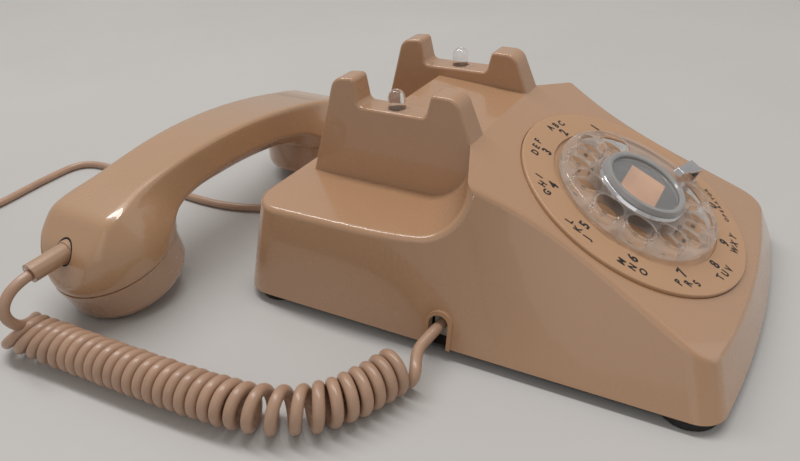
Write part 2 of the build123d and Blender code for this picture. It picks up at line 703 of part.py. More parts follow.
def under_top(inset):
    """Everything below the handset's top line, a flat crowned surface with a sloping end at each side."""
    line = [(x, 0, z - inset) for x, z in TOP_LINE[1:-1]]
    top = Spline(*line)
    start, end = top @ 0, top @ 1
    rest = Polyline(start, (-104.5 + inset, 0, 40), (-111.5 + inset, 0, 22), (-114, 0, 0), (114, 0, 0),
                    (112 - inset, 0, 20), (104.5 - inset, 0, 36), end)
    return extrude(make_face([top, rest]), 50, both=True)


def handset_handle():
    body = handle_bar()
    for side in (-1, 1):
        body -= at_cap(side, rod(0, 0, -30, CAP_H[side], 45))
    for side in (-1, 1):
        body += bowl(side, 0)
    body = body & under_top(0)
    rim = [e for e in body.edges() if is_top_edge(e)]
    body = fillet(rim, 3.0)
    for side in (-1, 1):
        body -= bowl(side, 3) & under_top(3)
        body -= at_cap(side, rod(0, 0, CAP_H[side] - 1, CAP_H[side] + 4.2, 27.6))
    duct = under_top(7) & box(-66, 66, -7, 7, 46.5, 80)
    body -= duct
    recess = Pos(BOOT_X + 1.5, 0, BOOT_Z) * Rot(0, 90, 0) * Cylinder(5.3, 12)
    return body - recess


def is_top_edge(edge):
    c = edge.center()
    return c.Z > 44 and edge.length > 8 and abs(c.Y) > 10 and abs(top_height(c.X) - c.Z) < 1.0


def top_height(x):
    for (x0, z0), (x1, z1) in zip(TOP_LINE, TOP_LINE[1:]):
        if x0 <= x <= x1:
            return z0 + (z1 - z0) * (x - x0) / (x1 - x0)
    return 0.0


def handset_cap(side):
    height = CAP_H[side]
    outline = [(0, 0, 0), (25.5, 0, 0), (28.4, 0, 1.1), (CAP_FACE_R - 0.2, 0, 4.0), (31.2, 0, height), (27.2, 0, height),
               (27.2, 0, height + 4.0), (25.6, 0, height + 4.0), (25.6, 0, 3.0), (0, 0, 3.0)]
    cup = revolve(make_face(Polyline(*outline, close=True)), Axis.Z, 360)
    rings = ((0, 1), (7, 6), (14, 12)) if side < 0 else ((0, 1), (7, 6))
    for radius, count in rings:
        for i in range(count):
            x, y = polar(radius, 360 * i / count)
            cup -= rod(x, y, -1, 4, 1.2)
    return at_cap(side, cup)


def handset_unit(side):
    return at_cap(side, rod(0, 0, 3.2, 9.0, 24.5) + rod(0, 0, 9.0, 17.0, 17.0))


def handset_boot():
    barrel = Pos(BOOT_X - 7.25, 0, BOOT_Z - 0.4) * Rot(0, 88, 0) * Cylinder(4.6, 21.5)
    flange = Pos(BOOT_X + 2.2, 0, BOOT_Z) * Rot(0, 90, 0) * Cylinder(5.1, 3)
    return barrel + flange


def in_handset(shape):
    return Pos(HS_X, HS_Y, 0) * Rot(0, 0, HS_YAW) * shape


# ---------------------------------------------------------------- cords
HANDSET_LEAD = ((-155.6, 168.4, 38.0), (-164.2, 168.3, 37.6), (-172.4, 168.0, 31.0), (-172.0, 168.0, 22.4),
                (-166.6, 168.2, 16.2))
CURL = ((-164.8, 178.5, 10.1), (-161.5, 130.0, 10.1), (-156.5, 72.0, 10.1), (-151.0, 41.0, 10.1),
        (-133.0, 17.5, 10.1), (-104.8, 9.2, 10.1))
BASE_LEAD = ((-104.8, 9.2, 10.1), (-94.5, 7.2, 12.5), (-83.3, 5.3, 14.2), (-75.5, 5.0, 13.4))
LINE = ((8, 101, 8.8), (7, 116, 7.6), (-5, 133, LINE_Z), (-20, 160, LINE_Z), (-27.5, 190, LINE_Z),
        (-25, 235, LINE_Z), (-18.5, 285, LINE_Z), (-20, 322, LINE_Z), (-52, 323.5, LINE_Z), (-96, 319.5, LINE_Z),
        (-130, 329.0, 2.6), (-158, 329.6, 3.1))
TAIL = ((-187.6, 300, 16.9), (-188.3, 285, 15.2), (-188.0, 268, 6.6), (-186.4, 252, 2.5), (-186, 238, 3.4))


def bend_radii(points):
    """Radius at each corner: as large as 0.45 of the shorter run beside it allows."""
    radii = []
    for before, here, after in zip(points, points[1:], points[2:]):
        run_in, run_out = Vector(*here) - Vector(*before), Vector(*after) - Vector(*here)
        half_turn = math.radians(run_in.get_angle(run_out)) / 2
        radii.append(0.45 * min(run_in.length, run_out.length) / math.tan(half_turn))
    return radii


def cord(name, points, diameter):
    radii = bend_radii(points)
    path = FilletPolyline(*points, radius=radii)
    print(name, "bend radii", [round(r, 1) for r in radii], "length", round(path.length, 1))
    section = Plane(origin=path @ 0, z_dir=path % 0) * Circle(diameter / 2)
    return sweep(section, path=path)


def line_coil():
    """The spare cord, wound in a flat ring and treated as one solid."""
    across, high = RING_COLUMNS * LINE_D, RING_LAYERS * LINE_D
    middle = Pos(RING_TURN_D / 2, 0, RING_BOTTOM + high / 2)
    section = middle * Rot(90, 0, 0) * RectangleRounded(across, high, 2.2)
    return Pos(RING_X, RING_Y, 0) * revolve(section, Axis.Z, 360)


def coil_tie(coil):
    """Wire tie round the ring of cord."""
    thick = 0.7
    across, high = RING_COLUMNS * LINE_D + 2 * thick, RING_LAYERS * LINE_D + 2 * thick
    middle = Pos(RING_TURN_D / 2, 0, RING_BOTTOM - thick + high / 2)
    band = revolve(middle * Rot(90, 0, 0) * RectangleRounded(across, high, 2.8), Axis.Z, 8)
    return Pos(RING_X, RING_Y, 0) * Rot(0, 0, 30) * band - coil


def line_plug():
    """Clear modular plug with its latch, at the end of the line cord."""
    x, y = TAIL[-1][0], TAIL[-1][1]
    body = box(x - 5.8, x + 5.8, y - 21.5, y, 0.2, 6.8)
    body = fillet(body.edges().filter_by(Axis.Z), 0.6)
    latch = polygon_yz([(y - 20, 6.8), (y - 17, 6.8), (y - 3, 9.2), (y - 3, 10.2), (y - 19, 8.0)], x - 3, x + 3)
    return body + latch


def handset_cord_clamp():
    return box(-76, -66, 0.2, 9.8, RIM_Z, 17.5)


def line_cord_clamp():
    return box(3.2, 12.8, 94, 102, RIM_Z, 13)


def main():
    keep("housing", housing())
    keep("base_plate", base_plate())
    keep("rubber_feet", *[rubber_foot(x, y) for x, y in FEET])
    keep("housing_screws", *[housing_screw(x, y, top) for x, y, top in BOSSES])
    keep("number_plate", on_dial(number_plate()))
    keep("dial_frame", on_dial(dial_frame()))
    keep("dial_screws", *[on_dial(dial_screw(angle)) for angle in FRAME_POSTS])
    keep("movement_plate", on_dial(movement_plate()))
    keep("dial_brackets", *dial_brackets())
    keep("dial_shaft", on_dial(dial_shaft()))
    keep("main_gear", on_dial(main_gear()))
    keep("cam_shaft", on_dial(cam_shaft()))
    keep("pulse_cam", on_dial(pulse_cam()))
    keep("governor_gear", on_dial(governor_gear()))
    keep("governor_shaft", on_dial(governor_shaft()))
    keep("governor_weights", on_dial(governor_weights()))
    keep("governor_cup", on_dial(governor_cup()))
    keep("pulse_contacts", *[on_dial(piece) for piece in pulse_contacts()])
    keep("return_spring", on_dial(return_spring()))
    keep("finger_wheel", on_dial(finger_wheel()))
    keep("ring_trim", on_dial(ring_trim()))
    keep("centre_ring", on_dial(centre_ring()))
    keep("card_window", on_dial(card_window()))
    keep("number_card", on_dial(number_card()))
    keep("card_label", on_dial(card_label()))
    keep("finger_stop", on_dial(finger_stop()))
    keep("switch_bracket", switch_bracket())
    keep("bail", bail())
    keep("bail_pin", bail_pin())
    keep("hook_spring", hook_spring())
    keep("switch_contacts", *switch_contacts())
    keep("plunger_left", plunger(-1))
    keep("plunger_right", plunger(1))
    keep("ringer_frame", ringer_frame())
    keep("ringer_core", ringer_core())
    keep("ringer_coil", ringer_coil())
    keep("gong_left", gong(-1))
    keep("gong_right", gong(1))
    keep("gong_screws", gong_screw(-1), gong_screw(1))
    keep("clapper", clapper())
    keep("clapper_pin", clapper_pin())
    keep("volume_wheel", volume_wheel())
    keep("wheel_axle", wheel_axle())
    keep("network_block", network_block())
    keep("terminal_screws", *terminal_screws())
    keep("handset_handle", in_handset(handset_handle()))
    keep("transmitter_cap", in_handset(handset_cap(-1)))
    keep("receiver_cap", in_handset(handset_cap(1)))
    keep("transmitter_unit", in_handset(handset_unit(-1)))
    keep("receiver_unit", in_handset(handset_unit(1)))
    keep("handset_boot", in_handset(handset_boot()))
    keep("cord_clamps", handset_cord_clamp(), line_cord_clamp())
    coil = line_coil()
    curl = cord("curly_cord", CURL, CURL_D)
    keep("curly_cord", curl)
    keep("handset_lead", cord("handset_lead", HANDSET_LEAD, LEAD_D) - curl)
    keep("base_lead", cord("base_lead", BASE_LEAD, LEAD_D) - handset_cord_clamp() - curl)
    keep("line_cord", cord("line_cord", LINE, LINE_D) - coil - line_cord_clamp())
    keep("line_coil", coil)
    keep("coil_tie", coil_tie(coil))
    keep("line_tail", cord("line_tail", TAIL, LINE_D) - coil - line_plug())
    keep("line_plug", line_plug())
    for name, solids in NODES.items():
        print(name, len(solids), round(sum(s.volume for s in solids), 1))
        export_step(Compound(solids), f"parts/{name}.step")


main()
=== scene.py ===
import json
import math

import bmesh
import bpy
import numpy as np
from mathutils import Matrix, Vector


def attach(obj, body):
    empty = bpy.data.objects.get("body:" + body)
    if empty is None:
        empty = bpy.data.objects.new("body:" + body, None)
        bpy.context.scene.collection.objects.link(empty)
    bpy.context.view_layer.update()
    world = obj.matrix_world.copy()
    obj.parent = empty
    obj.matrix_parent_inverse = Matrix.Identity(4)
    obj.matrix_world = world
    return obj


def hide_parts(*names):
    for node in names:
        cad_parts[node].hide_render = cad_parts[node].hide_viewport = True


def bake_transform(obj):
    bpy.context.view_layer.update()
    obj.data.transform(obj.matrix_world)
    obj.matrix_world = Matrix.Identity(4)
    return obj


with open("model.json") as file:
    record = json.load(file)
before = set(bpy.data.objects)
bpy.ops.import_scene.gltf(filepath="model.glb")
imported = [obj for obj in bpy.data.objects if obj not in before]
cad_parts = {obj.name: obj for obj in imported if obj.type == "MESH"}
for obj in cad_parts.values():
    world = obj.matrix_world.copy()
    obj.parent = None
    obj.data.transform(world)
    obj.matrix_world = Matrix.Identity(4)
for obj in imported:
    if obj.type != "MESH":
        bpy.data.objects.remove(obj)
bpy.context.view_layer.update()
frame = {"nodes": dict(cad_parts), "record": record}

NODES = frame["nodes"]
MM = 0.001


# ---------------------------------------------------------------- camera
def make_camera():
    data = bpy.data.cameras.new("camera")
    data.sensor_width = 36.0
    data.lens = 30.71
    data.shift_x = 0.0067
    data.shift_y = -0.0099
    data.clip_start = 0.01
    cam = bpy.data.objects.new("camera", data)
    bpy.context.collection.objects.link(cam)
    right = Vector((0.5081, -0.85931, -0.05848))
    up = Vector((0.46873, 0.2189, 0.85579))
    back = Vector((-0.72259, -0.46224, 0.51401))
    m = Matrix((right, up, back)).transposed().to_4x4()
    m.translation = Vector((-0.28051, -0.10356, 0.20279))
    cam.matrix_world = m
    bpy.context.scene.camera = cam


make_camera()

# ---------------------------------------------------------------- cord routes
# the same points as in the CAD, in mm
HANDSET_LEAD = ((-155.6, 168.4, 38.0), (-164.2, 168.3, 37.6), (-172.4, 168.0, 31.0), (-172.0, 168.0, 22.4),
                (-166.6, 168.2, 16.2))
CURL = ((-164.8, 178.5, 10.1), (-161.5, 130.0, 10.1), (-156.5, 72.0, 10.1), (-151.0, 41.0, 10.1),
        (-133.0, 17.5, 10.1), (-104.8, 9.2, 10.1))
BASE_LEAD = ((-104.8, 9.2, 10.1), (-94.5, 7.2, 12.5), (-83.3, 5.3, 14.2), (-75.5, 5.0, 13.4))
LINE_Z = 2.4
LINE = ((8, 101, 8.8), (7, 116, 7.6), (-5, 133, LINE_Z), (-20, 160, LINE_Z), (-27.5, 190, LINE_Z),
        (-25, 235, LINE_Z), (-18.5, 285, LINE_Z), (-20, 322, LINE_Z), (-52, 323.5, LINE_Z),
        (-96, 319.5, LINE_Z), (-130, 329.0, 2.6), (-158, 329.6, 3.1))
TAIL = ((-187.6, 300, 16.9), (-188.3, 285, 15.2), (-188.0, 268, 6.6), (-186.4, 252, 2.5), (-186, 238, 3.4))
RING = (-158.0, 300.0)
RING_R = 25.0
LEAD_D, CURL_D, LINE_D = 5.0, 20.0, 4.6


def add_object(name, data):
    obj = bpy.data.objects.new(name, data)
    bpy.context.collection.objects.link(obj)
    return obj


def nurbs_curve(name, points):
    """Curve of one smooth open spline; points in mm are its control points."""
    data = bpy.data.curves.new(name, "CURVE")
    data.dimensions = "3D"
    spline = data.splines.new("NURBS")
    spline.points.add(len(points) - 1)
    for p, co in zip(spline.points, points):
        p.co = (co[0] * MM, co[1] * MM, co[2] * MM, 1.0)
    spline.order_u = 3
    spline.use_endpoint_u = True
    spline.resolution_u = 24
    return add_object(name, data)


def sampled(points):
    """Points read along the smooth spline of a route, in metres."""
    obj = nurbs_curve("route", points)
    bpy.context.view_layer.update()
    mesh = bpy.data.meshes.new_from_object(obj)
    line = [v.co.copy() for v in mesh.vertices]
    bpy.data.meshes.remove(mesh)
    data = obj.data
    bpy.data.objects.remove(obj)
    bpy.data.curves.remove(data)
    return line


def even(points, step):
    """The same line with points a fixed step apart."""
    lengths = [0.0]
    for a, b in zip(points, points[1:]):
        lengths.append(lengths[-1] + (b - a).length)
    total = lengths[-1]
    count = max(2, int(round(total / step)))
    out, i = [], 0
    for k in range(count + 1):
        s = total * k / count
        while i < len(lengths) - 2 and lengths[i + 1] < s:
            i += 1
        span = lengths[i + 1] - lengths[i]
        t = 0.0 if span == 0 else (s - lengths[i]) / span
        out.append(points[i].lerp(points[i + 1], t))
    return out


def smooth(points, rounds):
    for _ in range(rounds):
        inner = [(a + b * 2 + c) / 4 for a, b, c in zip(points, points[1:], points[2:])]
        points = [points[0]] + inner + [points[-1]]
    return points


def tube_mesh(name, points, radius, sides=14):
    """Closed round tube swept along points with a frame that doesn't twist."""
    verts, faces = [], []
    tangent = (points[1] - points[0]).normalized()
    normal = tangent.orthogonal().normalized()
    for i, p in enumerate(points):
        ahead = points[min(i + 1, len(points) - 1)] - points[max(i - 1, 0)]
        new = ahead.normalized()
        normal = (tangent.rotation_difference(new) @ normal).normalized()
        tangent = new
        side = tangent.cross(normal)
        for k in range(sides):
            a = 2 * math.pi * k / sides
            verts.append(p + (normal * math.cos(a) + side * math.sin(a)) * radius)
    for i in range(len(points) - 1):
        for k in range(sides):
            n = (k + 1) % sides
            faces.append((i * sides + k, i * sides + n, (i + 1) * sides + n, (i + 1) * sides + k))
    faces.append(tuple(range(sides - 1, -1, -1)))
    last = (len(points) - 1) * sides
    faces.append(tuple(last + k for k in range(sides)))
    mesh = bpy.data.meshes.new(name)
    mesh.from_pydata([tuple(v) for v in verts], [], faces)
    mesh.polygons.foreach_set("use_smooth", [True] * len(mesh.polygons))
    mesh.update()
    return add_object(name, mesh)


def line_length(points):
    return sum((b - a).length for a, b in zip(points, points[1:]))


# ---------------------------------------------------------------- curly cord
AXIS_STEP, LEAD_STEP, CORD_STEP = 0.5, 0.8, 1.4      # mm between points of the axis, the leads, the cord
TURN_STEPS, JOIN_STEPS = 28, 14
START_PHASE = math.radians(200)
PITCH, GAPE_EXTRA, LOOSE_EXTRA = 5.35, 3.4, 2.8      # mm per turn, and what the bend and the loose end add
GAPE_AT, GAPE_WIDTH = 0.72, 0.075                    # where the curl bends, as a share of its length
LOOSE_END = 45.0                                     # mm of loose, leaning turns at the handset
LOOSE_GROWTH, LOOSE_TILT = 0.14, math.radians(46)
LEAD_KEPT, EXIT_SKIPPED = 0.80, 0.42                 # shares of the leads around the joins to the curl


def looseness(s):
    """1 at the handset end, where the turns lie loose and leaning, falling to 0."""
    way = max(0.0, 1 - s / (LOOSE_END * MM))
    return way * way * (3 - 2 * way)


def curl_pitch(s, total):
    """Turns lie against each other, and gape where the curl bends on the outside."""
    gape = math.exp(-((s / total - GAPE_AT) / GAPE_WIDTH) ** 2)
    return (PITCH + GAPE_EXTRA * gape + LOOSE_EXTRA * looseness(s)) * MM


def helix_points():
    axis = even(sampled(CURL), AXIS_STEP * MM)
    total = line_length(axis)
    radius = (CURL_D - LEAD_D) / 2 * MM
    up = Vector((0, 0, 1))
    out, phase, s = [], START_PHASE, 0.0
    while s < total - 2.0 * MM:
        pitch = curl_pitch(s, total)
        i = min(int(s / total * (len(axis) - 1)), len(axis) - 2)
        t = s / total * (len(axis) - 1) - i
        centre = axis[i].lerp(axis[i + 1], t)
        along = (axis[min(i + 3, len(axis) - 1)] - axis[max(i - 3, 0)]).normalized()
        side = along.cross(up).normalized()
        wobble = 1.0 - 0.035 * (0.5 + 0.5 * math.sin(phase / 6.28 * 2.3 + 1.0))
        r = radius * wobble * (1 + LOOSE_GROWTH * looseness(s))
        tilt = LOOSE_TILT * looseness(s)
        rise = up * math.cos(tilt) + along * math.sin(tilt)
        out.append(centre + (side * math.cos(phase) + rise * math.sin(phase)) * r)
        phase += 2 * math.pi / TURN_STEPS
        s += pitch / TURN_STEPS
    return out


def bridge(a, b, c, d, count):
    """Smooth join from b to c, leaving along a-b and arriving along c-d."""
    reach = (c - b).length * 0.45
    out = []
    p1, p2 = b + (b - a).normalized() * reach, c - (d - c).normalized() * reach
    for k in range(1, count):
        t = k / count
        u = 1 - t
        out.append(b * u ** 3 + p1 * 3 * u * u * t + p2 * 3 * u * t * t + c * t ** 3)
    return out


def curly_line():
    lead = even(sampled(HANDSET_LEAD), LEAD_STEP * MM)
    helix = helix_points()
    exit_line = even(sampled(BASE_LEAD), LEAD_STEP * MM)
    lead = lead[: int(len(lead) * LEAD_KEPT)]
    exit_line = exit_line[int(len(exit_line) * EXIT_SKIPPED):]
    join_a = bridge(lead[-2], lead[-1], helix[0], helix[1], JOIN_STEPS)
    join_b = bridge(helix[-2], helix[-1], exit_line[0], exit_line[1], JOIN_STEPS)
    return lead + join_a + helix + join_b + exit_line


CURLY = smooth(even(curly_line(), CORD_STEP * MM), 1)
curly = tube_mesh("curly_handset_cord", CURLY, LEAD_D / 2 * MM)
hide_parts("curly_cord", "handset_lead", "base_lead")


# ---------------------------------------------------------------- line cord with its spare length in a ring
RING_LAYERS, RING_COLUMNS, RING_STEPS = 4, 3, 16
RING_BOTTOM = 0.8
CROSSING = 0.3           # share of a turn over which the cord steps to the next turn


def ring_points():
    """Layers of turns side by side, each turn stepping over by one diameter."""
    out = []
    turns = RING_LAYERS * RING_COLUMNS
    for k in range(turns * RING_STEPS + RING_STEPS // 4 + 1):
        turn, part = divmod(k, RING_STEPS)
        layer, column = divmod(min(turn, turns - 1), RING_COLUMNS)
        way = max(0.0, (part / RING_STEPS - 1 + CROSSING) / CROSSING) if turn < turns - 1 else 0.0
        way = way * way * (3 - 2 * way)
        here = 1 - column if layer % 2 == 0 else column - 1
        rise = 0.0
        if column < RING_COLUMNS - 1:
            then = here + (-1 if layer % 2 == 0 else 1)
        else:
            then, rise = here, 1.0
        r = RING_R + LINE_D * (here + (then - here) * way)
        z = RING_BOTTOM + LINE_D * (layer + 0.5 + rise * way)
        a = math.radians(90) + 2 * math.pi * k / RING_STEPS
        out.append((RING[0] + r * math.cos(a), RING[1] + r * math.sin(a), z))
    return out


line_points = list(LINE[:-1]) + ring_points() + list(TAIL[1:])
line = nurbs_curve("line_cord_run", line_points)
line.data.resolution_u = 8
line.data.bevel_depth = LINE_D / 2 * MM
line.data.bevel_resolution = 5
line.data.use_fill_caps = True
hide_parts("line_cord", "line_coil", "line_tail")

# ---------------------------------------------------------------- materials
class Mat:
    """A node material built up from small steps."""

    def __init__(self, name):
        self.mat = bpy.data.materials.new(name)
        self.mat.use_nodes = True
        self.tree = self.mat.node_tree
        self.shader = next(n for n in self.tree.nodes if n.type == "BSDF_PRINCIPLED")
        self.coord = self.tree.nodes.new("ShaderNodeTexCoord")

    def set(self, **sockets):
        for key, value in sockets.items():
            self.shader.inputs[key.replace("_", " ")].default_value = value
        return self

    def link(self, a, b):
        self.tree.links.new(a, b)

    def noise(self, scale, detail=3.0, rough=0.55, stretch=(1, 1, 1)):
        mapping = self.tree.nodes.new("ShaderNodeMapping")
        mapping.inputs["Scale"].default_value = stretch
        self.link(self.coord.outputs["Object"], mapping.inputs["Vector"])
        node = self.tree.nodes.new("ShaderNodeTexNoise")
        node.inputs["Scale"].default_value = scale
        node.inputs["Detail"].default_value = detail
        node.inputs["Roughness"].default_value = rough
        self.link(mapping.outputs["Vector"], node.inputs["Vector"])
        return node.outputs["Fac"]

    def ramp(self, fac, low, high, start=0.35, end=0.65):
        node = self.tree.nodes.new("ShaderNodeValToRGB")
        node.color_ramp.elements[0].position = start
        node.color_ramp.elements[1].position = end
        node.color_ramp.elements[0].color = (*low, 1)
        node.color_ramp.elements[1].color = (*high, 1)
        self.link(fac, node.inputs["Fac"])
        return node.outputs["Color"]

    def spread(self, fac, low, high):
        node = self.tree.nodes.new("ShaderNodeMapRange")
        node.inputs["From Min"].default_value = 0.3
        node.inputs["From Max"].default_value = 0.7
        node.inputs["To Min"].default_value = low
        node.inputs["To Max"].default_value = high
        self.link(fac, node.inputs["Value"])
        return node.outputs["Result"]

    def worn_edges(self, color, edge_color, radius, amount):
        """Lighter, rubbed colour where a bevel turns the surface."""
        bevel = self.tree.nodes.new("ShaderNodeBevel")
        bevel.samples = 8
        bevel.inputs["Radius"].default_value = radius
        geometry = self.tree.nodes.new("ShaderNodeNewGeometry")
        dot = self.tree.nodes.new("ShaderNodeVectorMath")
        dot.operation = "DOT_PRODUCT"
        self.link(bevel.outputs["Normal"], dot.inputs[0])
        self.link(geometry.outputs["Normal"], dot.inputs[1])
        rub = self.tree.nodes.new("ShaderNodeMapRange")
        rub.inputs["From Min"].default_value = 0.985
        rub.inputs["From Max"].default_value = 0.80
        rub.inputs["To Min"].default_value = 0.0
        rub.inputs["To Max"].default_value = amount
        self.link(dot.outputs["Value"], rub.inputs["Value"])
        mix = self.tree.nodes.new("ShaderNodeMix")
        mix.data_type = "RGBA"
        self.link(rub.outputs["Result"], mix.inputs["Factor"])
        self.link(color, mix.inputs["A"])
        mix.inputs["B"].default_value = (*edge_color, 1)
        return mix.outputs["Result"], bevel.outputs["Normal"]

    def bump(self, height, strength, distance, normal=None):
        node = self.tree.nodes.new("ShaderNodeBump")
        node.inputs["Strength"].default_value = strength
        node.inputs["Distance"].default_value = distance
        self.link(height, node.inputs["Height"])
        if normal is not None:
            self.link(normal, node.inputs["Normal"])
        return node.outputs["Normal"]

    def base(self, socket):
        self.link(socket, self.shader.inputs["Base Color"])

    def roughness(self, socket):
        self.link(socket, self.shader.inputs["Roughness"])

    def normal(self, socket):
        self.link(socket, self.shader.inputs["Normal"])


def linear(r, g, b):
    """sRGB 0-255 to linear."""
    out = []
    for c in (r, g, b):
        c /= 255
        out.append(c / 12.92 if c <= 0.04045 else ((c + 0.055) / 1.055) ** 2.4)
    return tuple(out)


def tinted(color, factor):
    return tuple(min(1.0, c * factor) for c in color)


def plastic(name, color, rough=0.26, coat=0.75):
    """Moulded ABS: glossy, with a faint cloudy tint, smudges, flow ripple and fine pores."""
    m = Mat(name)
    cloud = m.noise(14, 4)
    m.base(m.ramp(cloud, tinted(color, 0.98), tinted(color, 1.02)))
    smudge = m.noise(38, 5, 0.7)
    m.roughness(m.spread(smudge, rough * 0.9, rough * 1.15))
    flow = m.noise(90, 2, 0.4)
    fine = m.noise(2600, 2, 0.5)
    normal = m.bump(flow, 0.007, 0.002)
    normal = m.bump(fine, 0.006, 0.0002, normal)
    m.normal(normal)
    m.set(IOR=1.5, Coat_Weight=coat, Coat_Roughness=0.045)
    return m.mat


def metal(name, color, rough, brushed=None, edge_radius=0.0003):
    """Metal with fine scratches; brushed gives the stretch of the grain."""
    m = Mat(name)
    cloud = m.noise(60, 4)
    shade = m.ramp(cloud, tinted(color, 0.86), tinted(color, 1.06))
    shade, normal = m.worn_edges(shade, tinted(color, 1.25), edge_radius, 0.5)
    m.base(shade)
    grain = m.noise(900, 3, 0.6, brushed or (1, 1, 1))
    m.roughness(m.spread(grain, rough * 0.7, rough * 1.4))
    m.normal(m.bump(grain, 0.12, 0.0001, normal))
    m.set(Metallic=1.0)
    return m.mat


def dull(name, color, rough=0.7, scale=500, strength=0.3, sheen=0.0):
    """Rubber, board, phenolic and other matt stuff."""
    m = Mat(name)
    cloud = m.noise(40, 5, 0.6)
    shade = m.ramp(cloud, tinted(color, 0.85), tinted(color, 1.15))
    m.base(shade)
    grain = m.noise(scale, 4, 0.65)
    m.roughness(m.spread(grain, rough * 0.88, min(1.0, rough * 1.15)))
    m.normal(m.bump(grain, strength, 0.0003))
    m.set(Sheen_Weight=sheen)
    return m.mat


def clear(name, color, rough=0.03, edge_radius=0.0005):
    """Clear acrylic with hair scratches and a few smudges."""
    m = Mat(name)
    bevel = m.tree.nodes.new("ShaderNodeBevel")
    bevel.samples = 4
    bevel.inputs["Radius"].default_value = edge_radius
    smudge = m.noise(120, 5, 0.7)
    m.roughness(m.spread(smudge, rough * 0.4, rough * 2.4))
    m.normal(m.bump(m.noise(1500, 2, 0.5), 0.03, 0.0001, bevel.outputs["Normal"]))
    m.set(Base_Color=(*color, 1), Transmission_Weight=0.93, IOR=1.1, Coat_Weight=1.0, Coat_Roughness=0.03,
          Coat_IOR=1.55)
    return m.mat


def wound(name, color, pitch, axis):
    """Fine enamelled wire wound along an axis."""
    m = Mat(name)
    wave = m.tree.nodes.new("ShaderNodeTexWave")
    wave.bands_direction = axis
    wave.inputs["Scale"].default_value = 1 / pitch / 3.14
    wave.inputs["Distortion"].default_value = 0.3
    m.link(m.coord.outputs["Object"], wave.inputs["Vector"])
    m.base(m.ramp(wave.outputs["Fac"], tinted(color, 0.35), tinted(color, 1.1), 0.1, 0.6))
    m.normal(m.bump(wave.outputs["Fac"], 0.6, 0.0002))
    m.set(Metallic=0.7, Roughness=0.35)
    return m.mat


BEIGE = linear(181, 141, 108)
PALETTE = {
    "housing_plastic": plastic("housing_plastic", BEIGE),
    "handset_plastic": plastic("handset_plastic", linear(181, 143, 109)),
    "cap_plastic": plastic("cap_plastic", linear(176, 140, 111), rough=0.26),
    "plate_plastic": plastic("plate_plastic", linear(188, 147, 112), rough=0.34, coat=0.1),
    "ring_grey": plastic("ring_grey", linear(150, 148, 146), rough=0.16, coat=0.5),
    "cord_vinyl": None,
    "base_steel": dull("base_steel", linear(38, 36, 35), 0.42, 1400, 0.12),
    "steel": metal("steel", linear(170, 170, 168), 0.32),
    "plated_steel": metal("plated_steel", linear(196, 188, 160), 0.28),
    "brass": metal("brass", linear(206, 168, 96), 0.22),
    "chrome": metal("chrome", linear(225, 225, 228), 0.07),
    "unit_metal": metal("unit_metal", linear(160, 160, 158), 0.38),
    "foot_rubber": dull("foot_rubber", linear(34, 32, 31), 0.75),
    "dark_phenolic": dull("dark_phenolic", linear(48, 34, 27), 0.5, 900, 0.2),
    "card_dark": dull("card_dark", linear(88, 88, 92), 0.55, 1200, 0.25),
    "label_salmon": dull("label_salmon", linear(246, 184, 138), 0.65, 1500, 0.2),
    "clamp_nylon": dull("clamp_nylon", linear(208, 204, 192), 0.45, 700, 0.15),
    "tie_black": dull("tie_black", linear(30, 30, 30), 0.4, 700, 0.15),
    "clear_acrylic": clear("clear_acrylic", (0.975, 0.965, 0.95), rough=0.05),
    "coil_copper": wound("coil_copper", linear(168, 92, 52), 0.0004, "X"),
}


def vinyl():
    """Soft PVC jacket: satin, faintly mottled, with slight drag marks."""
    color = linear(178, 144, 120)
    m = Mat("cord_vinyl")
    m.base(m.ramp(m.noise(55, 5, 0.6), tinted(color, 0.93), tinted(color, 1.06)))
    m.roughness(m.spread(m.noise(240, 4, 0.6), 0.26, 0.42))
    m.normal(m.bump(m.noise(1300, 3, 0.55), 0.08, 0.0002))
    m.set(IOR=1.52, Coat_Weight=0.12, Coat_Roughness=0.2, Subsurface_Weight=0.04)
    m.shader.inputs["Subsurface Radius"].default_value = (0.003, 0.002, 0.0014)
    return m.mat


PALETTE["cord_vinyl"] = vinyl()


# ---------------------------------------------------------------- finish per node
SLOTS = {}
for part in frame["record"]["subparts"]:
    SLOTS[part["node"]] = part["material_slot"]


def dress(obj, material):
    obj.data.materials.clear()
    obj.data.materials.append(material)


for node, obj in NODES.items():
    for slot in obj.material_slots:
        slot.material = PALETTE[SLOTS[node]]

dress(curly, PALETTE["cord_vinyl"])
dress(line, PALETTE["cord_vinyl"])


# ---------------------------------------------------------------- handset shell
# Handset axes as in the CAD: X along the handle, transmitter at -X, Z up from the desk, in mm.
HANDSET = Matrix.Translation((-33.5 * MM, 166.0 * MM, 0)) @ Matrix.Rotation(math.radians(-1.4), 4, "Z")
CAP_H = {-1: 19.5, 1: 19.0}
CAP_TILT = {-1: 15.0, 1: 10.0}
CAP_X = {-1: -75.4, 1: 77.2}
CAP_FACE_R, SEAM_R, SEAM_HOLE_R = 30.0, 31.2, 27.6
BELL = ((0, 31.2), (7, 30.9), (15, 28.6), (22, 24.4), (28.5, 18.8), (34, 10.5), (37, 0.0))
TOP_LINE = ((-92.5, 53), (-78.5, 56.3), (-57.5, 60.4), (-38.5, 62.9), (-16.5, 64.2), (-3.5, 64.1),
            (16.5, 62.9), (36.5, 60.4), (57.5, 56.6), (76.5, 52.0), (92, 47.6))
END_LINES = (((-111.5, 22), (-104.5, 40)), ((-104.5, 40), (-92.5, 53)), ((92, 47.6), (104.5, 36)),
             ((104.5, 36), (112, 20)))
